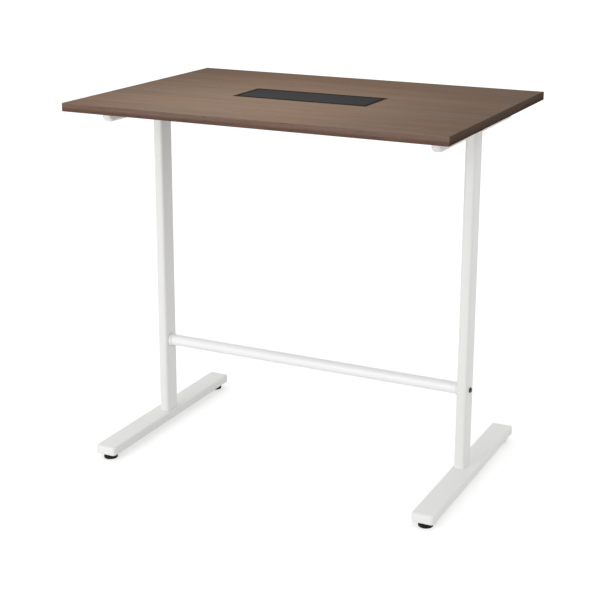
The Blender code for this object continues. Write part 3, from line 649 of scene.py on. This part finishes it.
# A round hole sunk into the flat underside of a piece
def sinkHole(bm, x, y, radius, depth):
    v = legValues
    cutPlanes(bm, 1, (y - radius - v["holeMargin"], y + radius + v["holeMargin"]))
    bm.normal_update()
    under = [face for face in bm.faces if face.normal.z < -0.9]
    face = min(under, key=lambda item: (item.calc_center_median().xy - Vector((x, y))).length)
    level = face.calc_center_median().z
    bmesh.ops.subdivide_edges(bm, edges=face.edges[:], cuts=v["holeCuts"])
    bmesh.ops.inset_individual(bm, faces=[face], thickness=v["holeInset"])
    for vert in face.verts:
        away = Vector((vert.co.x - x, vert.co.y - y, 0))
        vert.co = Vector((x, y, level)) + away.normalized() * radius
    inner = bmesh.ops.extrude_discrete_faces(bm, faces=[face])["faces"][0]
    bmesh.ops.translate(bm, vec=(0, 0, depth), verts=inner.verts)


# The two caps of an arm or foot, each turned to its own end
def addCaps(kind, side, x, z, nose, makeCap):
    for end, way in ends.items():
        node = f"{kind}_cap_{side}_{end}"
        low, high = sized(node)
        tip = low.y if way < 0 else high.y
        place = Matrix.Translation((x, tip - way * nose, z))
        cap = move(makeCap(), place @ (faceFront if way < 0 else faceBack))
        name = f"{kind}Cap{side.title()}{end.title()}"
        addPiece(name, cap, capWhite, "table", (node,))


def makeLeg(side):
    v = legValues
    label = side.title()
    low, high = sized("post_" + side)
    post = boxMesh(low, high)
    roundEdges(post, edgesAlong(post, 2), v["postCorner"], 10)
    addPiece("post" + label, post, powderWhite, "table", ("post_" + side,))

    low, high = sized("arm_" + side)
    arm = boxMesh(low, high)
    x = (low.x + high.x) / 2
    roundEdges(arm, edgesAlong(arm, 1, lambda p: p.z < (low.z + high.z) / 2), v["armLower"], 10)
    roundEdges(arm, edgesAlong(arm, 1, lambda p: p.z > high.z - veryNear), v["armUpper"], 6)
    for end in ends:
        screwLow, screwHigh = sized(f"arm_screw_{side}_{end}")
        sinkHole(arm, x, (screwLow.y + screwHigh.y) / 2, v["armHole"], v["armHoleDepth"])
    addPiece("arm" + label, arm, powderWhite, "table", ("arm_" + side,))
    width, height = high.x - low.x, high.z - low.z
    addCaps("arm", side, x, high.z, v["armNose"], lambda: noseMesh(
        width, -height, 0.0, v["armLower"], v["armUpper"], v["armNose"], v["armShrink"]))

    low, high = sized("foot_" + side)
    foot = boxMesh(low, high)
    x = (low.x + high.x) / 2
    roundEdges(foot, edgesAlong(foot, 1), v["footCorner"], 6)
    for end in ends:
        boltLow, boltHigh = sized(f"foot_bolt_{side}_{end}")
        sinkHole(foot, x, (boltLow.y + boltHigh.y) / 2, v["footHole"], v["footHoleDepth"])
    addPiece("foot" + label, foot, powderWhite, "table", ("foot_" + side,))
    width, half = high.x - low.x, (high.z - low.z) / 2
    addCaps("foot", side, x, (low.z + high.z) / 2, v["footNose"], lambda: noseMesh(
        width, -half, half, v["footCorner"], v["footCorner"], v["footNose"], v["footShrink"]))


for sideName in sides:
    makeLeg(sideName)
print("legs made")


# The painted weld that runs round each post's end, under its arm
def makeBead(side):
    v = legValues
    postLow, postHigh = sized("post_" + side)
    armLow, armHigh = sized("arm_" + side)
    centre = (postLow + postHigh) / 2
    halfX = (postHigh.x - postLow.x) / 2 - v["postCorner"]
    halfY = (postHigh.y - postLow.y) / 2 - v["postCorner"]
    flat = (armHigh.x - armLow.x) / 2 - v["armLower"]
    points = []
    for cornerX, cornerY, start in ((1, 1, 0), (-1, 1, 90), (-1, -1, 180), (1, -1, 270)):
        for step in range(v["beadSteps"] + 1):
            angle = math.radians(start + 90 * step / v["beadSteps"])
            x = cornerX * halfX + v["postCorner"] * math.cos(angle)
            y = cornerY * halfY + v["postCorner"] * math.sin(angle)
            over = min(max(abs(x) - flat, 0.0), v["armLower"] * v["beadReach"])
            z = armLow.z + v["armLower"] - math.sqrt(v["armLower"] ** 2 - over ** 2)
            points.append((centre.x + x, centre.y + y, z))
    path = bpy.data.curves.new("bead", "CURVE")
    path.dimensions = "3D"
    path.bevel_depth = v["bead"]
    path.bevel_resolution = 3
    line = path.splines.new("POLY")
    line.points.add(len(points) - 1)
    for point, place in zip(line.points, points):
        point.co = (*place, 1)
    line.use_cyclic_u = True
    source = bpy.data.objects.new("beadSource", path)
    scene.collection.objects.link(source)
    graph = bpy.context.evaluated_depsgraph_get()
    mesh = bpy.data.meshes.new_from_object(source.evaluated_get(graph))
    bpy.data.objects.remove(source, do_unlink=True)
    bm = bmesh.new()
    bm.from_mesh(mesh)
    bpy.data.meshes.remove(mesh)
    bmesh.ops.remove_doubles(bm, verts=bm.verts, dist=samePoint)
    addPiece("weld" + side.title(), bm, powderWhite, "table", ())


for sideName in sides:
    makeBead(sideName)


# Glides: a turned base with a ribbed edge, and a round shoulder with the stud's bore
glideValues = {
    "base": 0.0120, "round": 0.0014, "sole": 0.0030, "ribs": 36, "ribDepth": 0.0005, "ribZone": 0.0002,
    "shoulder": 0.0130, "slope": 0.0015, "slopeLow": 0.0006, "slopeHigh": 0.0016, "shoulderEdge": 0.0005,
    "bore": 0.0045, "boreDepth": 0.002,
}


def makeGlides():
    v = glideValues
    for side in sides:
        for end in ends:
            node = f"glide_pad_{side}_{end}"
            low, high = sized(node)
            centre = (low + high) / 2
            radius = (high.x - low.x) / 2
            top = high.z - low.z
            edge, turned, bottom = radius - v["round"], v["shoulder"], top - v["boreDepth"]
            profile = [(0.0, 0.0), (radius - v["sole"], 0.0)]
            profile += corner(edge, v["round"], v["round"], -90, 0)
            profile += corner(edge, v["base"] - v["round"], v["round"], 0, 90)
            profile += [(turned + v["slope"], v["base"] + v["slopeLow"]),
                        (turned, v["base"] + v["slopeHigh"]),
                        (turned, top - v["shoulderEdge"]), (turned - v["shoulderEdge"], top),
                        (v["bore"], top), (v["bore"], bottom), (0.0, bottom)]
            steps = v["ribs"] * 4
            bm = spinMesh(profile, steps)
            for vert in bm.verts:  # every other pair of steps is let in a little, which leaves the ribs
                flatLength = math.hypot(vert.co.x, vert.co.y)
                inHeight = v["round"] < vert.co.z < v["base"] - v["round"] * 0.5
                if flatLength > radius - v["ribZone"] and inHeight:
                    turn = math.atan2(vert.co.y, vert.co.x) / (2 * math.pi) * steps
                    if round(turn) % 4 in (0, 1):
                        vert.co.x *= 1 - v["ribDepth"] / flatLength
                        vert.co.y *= 1 - v["ribDepth"] / flatLength
            move(bm, Matrix.Translation((centre.x, centre.y, low.z)))
            addPiece(f"glidePad{side.title()}{end.title()}", bm, glideBlack, f"glide_{side}_{end}",
                     (node,), sharp=30.0)


makeGlides()


# Foot rail with a collar at each post
railValues = {"steps": 96, "collarRound": 0.0025, "collarEase": 0.0003, "lip": 0.0004, "lipDepth": 0.0004}


def makeRail():
    v = railValues
    low, high = sized("foot_rail")
    centre = (low + high) / 2
    radius = (high.z - low.z) / 2
    half = (high.x - low.x) / 2
    rail = spinMesh([(0.0, -half), (radius, -half), (radius, half), (0.0, half)], v["steps"])
    move(rail, Matrix.Translation(centre) @ faceRight)
    addPiece("footRail", rail, railWhite, "table", ("foot_rail",))
    for side, sign in sides.items():
        low, high = sized("rail_collar_" + side)
        outer = (high.z - low.z) / 2
        length = high.x - low.x
        face = high.x if sign > 0 else low.x
        size = v["collarRound"]
        profile = [(0.0, 0.0), (outer - v["collarEase"], 0.0), (outer, v["collarEase"])]
        profile += corner(outer - size, length - size, size, 0, 90, 8)
        profile += [(radius + v["lip"], length - v["lipDepth"]), (0.0, length - v["lipDepth"])]
        collar = spinMesh(profile, v["steps"])
        place = Matrix.Translation((face, centre.y, centre.z))
        move(collar, place @ (faceLeft if sign > 0 else faceRight))
        addPiece("railCollar" + side.title(), collar, capWhite, "table", ("rail_collar_" + side,))


makeRail()
print("glides and rail made")


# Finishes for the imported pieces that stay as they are
def dressPacked():
    finishes = {"lid_pin": zincSteel, "post_plug": zincSteel, "rail_plug": zincSteel,
                "glide_nut": zincSteel, "glide_stud": zincSteel, "arm_screw": zincSteel,
                "foot_bolt": boltBlack}
    for name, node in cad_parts.items():
        for start, finish in finishes.items():
            if name.startswith(start):
                node.data.materials.clear()
                node.data.materials.append(finish)


dressPacked()


# Studio: pale floor, even sky, a large soft lamp low in front and a small one over the top
studio = {
    "sky": 0.86, "floorSize": 60.0, "floorColour": 0.70, "floorGlow": 0.50,
    "lamps": (
        {"name": "frontLamp", "power": 37.0, "size": 2.0,
         "place": (-1.0, -3.6, 1.3), "aim": (0.0, 0.0, 0.5)},
        {"name": "topLamp", "power": 3.4, "size": 0.5,
         "place": (-0.12, -0.22, 1.60), "aim": (-0.12, -0.22, 1.0)},
    ),
}


# One where a ray comes from the camera, a reflection or glass, and nought where it lights something
def seenRays(tree):
    paths = addNode(tree, "ShaderNodeLightPath")
    seen = math2(tree, "MAXIMUM", paths.outputs["Is Camera Ray"], paths.outputs["Is Glossy Ray"])
    return math2(tree, "MAXIMUM", seen, paths.outputs["Is Transmission Ray"])


def makeStudio():
    world = bpy.data.worlds.new("studioSky")
    world.use_nodes = True
    scene.world = world
    tree = world.node_tree
    background = tree.nodes["Background"]
    strength = addNode(tree, "ShaderNodeMapRange")
    strength.inputs["To Min"].default_value = studio["sky"]
    strength.inputs["To Max"].default_value = 1.0
    tree.links.new(seenRays(tree), strength.inputs["Value"])
    background.inputs["Color"].default_value = (1, 1, 1, 1)
    tree.links.new(strength.outputs["Result"], background.inputs["Strength"])

    bm = bmesh.new()
    bmesh.ops.create_grid(bm, x_segments=1, y_segments=1, size=studio["floorSize"])
    mesh = bpy.data.meshes.new("studioFloor")
    bm.to_mesh(mesh)
    bm.free()
    floor = bpy.data.objects.new("studioFloor", mesh)
    scene.collection.objects.link(floor)
    finish = bpy.data.materials.new("floorPaper")
    finish.use_nodes = True
    tree = finish.node_tree
    shader = tree.nodes["Principled BSDF"]
    value = studio["floorColour"]
    shader.inputs["Base Color"].default_value = (value, value, value, 1)
    shader.inputs["Roughness"].default_value = 1.0
    shader.inputs["Specular IOR Level"].default_value = 0.0
    shader.inputs["Emission Color"].default_value = (1, 1, 1, 1)
    glow = math2(tree, "MULTIPLY", seenRays(tree), studio["floorGlow"])
    tree.links.new(glow, shader.inputs["Emission Strength"])
    mesh.materials.append(finish)

    for values in studio["lamps"]:
        light = bpy.data.lights.new(values["name"], "AREA")
        light.shape = "DISK"
        light.size = values["size"]
        light.energy = values["power"]
        lamp = bpy.data.objects.new(values["name"], light)
        scene.collection.objects.link(lamp)
        lamp.location = values["place"]
        away = Vector(values["place"]) - Vector(values["aim"])
        lamp.rotation_euler = away.to_track_quat("Z", "Y").to_euler()
        lamp.visible_camera = False


makeStudio()
print("studio made")


# Camera at the photograph's viewpoint
cameraValues = {
    "sensor": 36.0, "lens": 81.45, "shiftY": -0.09,
    "place": (1.5278, -3.1975, 1.5573), "heading": 115.98, "down": 15.185, "roll": 0.18,
}


def makeCamera():
    v = cameraValues
    heading, down, roll = (math.radians(v[key]) for key in ("heading", "down", "roll"))
    forward = Vector((math.cos(heading) * math.cos(down), math.sin(heading) * math.cos(down),
                      -math.sin(down)))
    right = Vector((math.sin(heading), -math.cos(heading), 0))
    up = right.cross(forward)
    rightRolled = right * math.cos(roll) + up * math.sin(roll)
    upRolled = up * math.cos(roll) - right * math.sin(roll)
    lens = bpy.data.cameras.new("viewpoint")
    lens.sensor_width = v["sensor"]
    lens.lens = v["lens"]
    lens.shift_y = v["shiftY"]
    camera = bpy.data.objects.new("viewpoint", lens)
    scene.collection.objects.link(camera)
    turn = Matrix((rightRolled, upRolled, -forward)).transposed().to_4x4()
    camera.matrix_world = Matrix.Translation(v["place"]) @ turn
    scene.camera = camera


makeCamera()
scene.view_settings.view_transform = "Standard"
